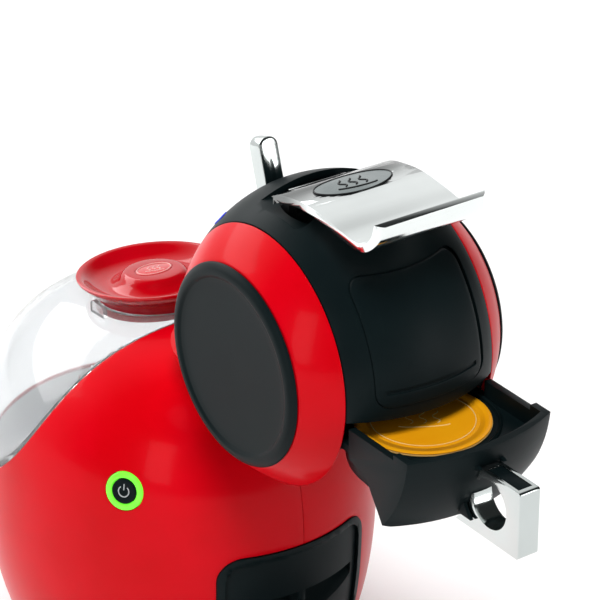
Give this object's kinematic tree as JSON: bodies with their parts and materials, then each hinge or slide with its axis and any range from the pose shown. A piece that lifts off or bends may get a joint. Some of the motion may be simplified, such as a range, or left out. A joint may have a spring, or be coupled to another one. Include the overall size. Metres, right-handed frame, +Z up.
{
  "type": "pod coffee machine",
  "caption": "Countertop capsule coffee maker with an egg-shaped body, round head, sliding pod drawer, locking lever and lift-off water tank",
  "frame": {"origin": "on the floor under the middle of the bounding box, with the pod drawer standing open as at rest", "axes": "X to the right seen from the front, front faces -Y, Z up"},
  "size_m": [0.164, 0.334, 0.3088],
  "materials": {
    "red_gloss": "high gloss",
    "black_satin": "satin",
    "dark_plastic": "matte",
    "white_plastic": "matte",
    "clear_tank": "clear",
    "chrome": "polished",
    "steel": "brushed",
    "cast_heater": "cast",
    "rubber": "matte",
    "pod_foil": "satin foil",
    "blue_mark": "gloss",
    "red_mark": "gloss",
    "green_light": "lit lens",
    "board": "solder mask"
  },
  "bodies": {
    "housing": {"side_shell_left": "red_gloss", "side_shell_right": "red_gloss", "ring_left": "red_gloss", "ring_right": "red_gloss", "neck": "red_gloss", "head_band": "black_satin", "visor_panel": "black_satin", "cap_left": "black_satin", "cap_right": "black_satin", "front_ladder": "black_satin", "cheek_left": "dark_plastic", "cheek_right": "dark_plastic", "brew_bridge": "dark_plastic", "handle_bracket": "dark_plastic", "base_plate": "dark_plastic", "chassis": "dark_plastic", "pump_body": "white_plastic", "tank_seat": "white_plastic", "handle_pin": "steel", "selector_pin": "steel", "button_spring": "steel", "pump_coil": "steel", "thermostat": "steel", "heater_block": "cast_heater", "tank_seal": "rubber", "pump_mount_front": "rubber", "pump_mount_rear": "rubber", "hose_tank_to_pump": "rubber", "hose_pump_to_heater": "rubber", "hose_heater_to_head": "rubber", "foot_1": "rubber", "foot_2": "rubber", "foot_3": "rubber", "foot_4": "rubber", "cord_inlet": "rubber", "mark_cold": "blue_mark", "mark_hot": "red_mark", "button_lens": "green_light", "control_board": "board"},
    "handle": {"lock_handle": "chrome", "handle_badge": "chrome"},
    "needle": {"needle_plate": "dark_plastic", "injection_needle": "steel", "pod_seal": "rubber"},
    "selector": {"selector_lever": "chrome"},
    "drawer": {"pod_drawer": "black_satin", "drawer_grip": "chrome", "grip_inlay": "black_satin", "pod_cup": "white_plastic", "pod_lid": "pod_foil"},
    "tank": {"tank_shell": "clear_tank", "valve_body": "white_plastic", "lid_clip": "clear_tank"},
    "tank_valve": {"valve_plunger": "white_plastic"},
    "lid": {"tank_lid": "red_gloss", "lid_badge": "red_gloss"},
    "tray": {"drip_tray": "black_satin"},
    "grid": {"drip_grid": "black_satin"},
    "button": {"power_button": "black_satin"},
    "piston": {"pump_piston": "steel"}
  },
  "joints": [
    {"name": "handle_lift", "type": "hinge", "parent": "housing", "child": "handle", "pos_m": [0, -0.032, 0.2882], "axis": [-1, 0, 0], "range_deg": [0, 70]},
    {"name": "needle_travel", "type": "slide", "parent": "housing", "child": "needle", "axis": [0, 0, 1], "range_m": [0, 0.004]},
    {"name": "selector_turn", "type": "hinge", "parent": "housing", "child": "selector", "pos_m": [0, -0.00503, 0.26069], "axis": [0, 0.9563, -0.2924], "range_deg": [-20, 20]},
    {"name": "drawer_slide", "type": "slide", "parent": "housing", "child": "drawer", "axis": [0, -1, 0], "range_m": [-0.036, 0.05]},
    {"name": "tank_lift", "type": "slide", "parent": "housing", "child": "tank", "axis": [0, 0, 1], "range_m": [0, 0.12]},
    {"name": "tank_valve_lift", "type": "slide", "parent": "tank", "child": "tank_valve", "axis": [0, 0, 1], "range_m": [0, 0.003], "stiffness_N_per_m": 60},
    {"name": "lid_lift", "type": "slide", "parent": "tank", "child": "lid", "axis": [0, 0.1219, 0.9925], "range_m": [0, 0.06]},
    {"name": "tray_slide", "type": "slide", "parent": "housing", "child": "tray", "axis": [0, -1, 0], "range_m": [0, 0.09]},
    {"name": "grid_lift", "type": "slide", "parent": "tray", "child": "grid", "axis": [0, 0, 1], "range_m": [0, 0.008]},
    {"name": "button_press", "type": "slide", "parent": "housing", "child": "button", "axis": [0.81, 0.5358, -0.2384], "range_m": [0, 0.0012], "stiffness_N_per_m": 800, "springref_m": -0.0003},
    {"name": "pump_stroke", "type": "slide", "parent": "housing", "child": "piston", "axis": [0, 1, 0], "range_m": [-0.003, 0.003], "stiffness_N_per_m": 900}
  ],
  "couplings": [
    {"joint": "needle_travel", "follows": "handle_lift", "m_per_rad": 0.003274}
  ]
}
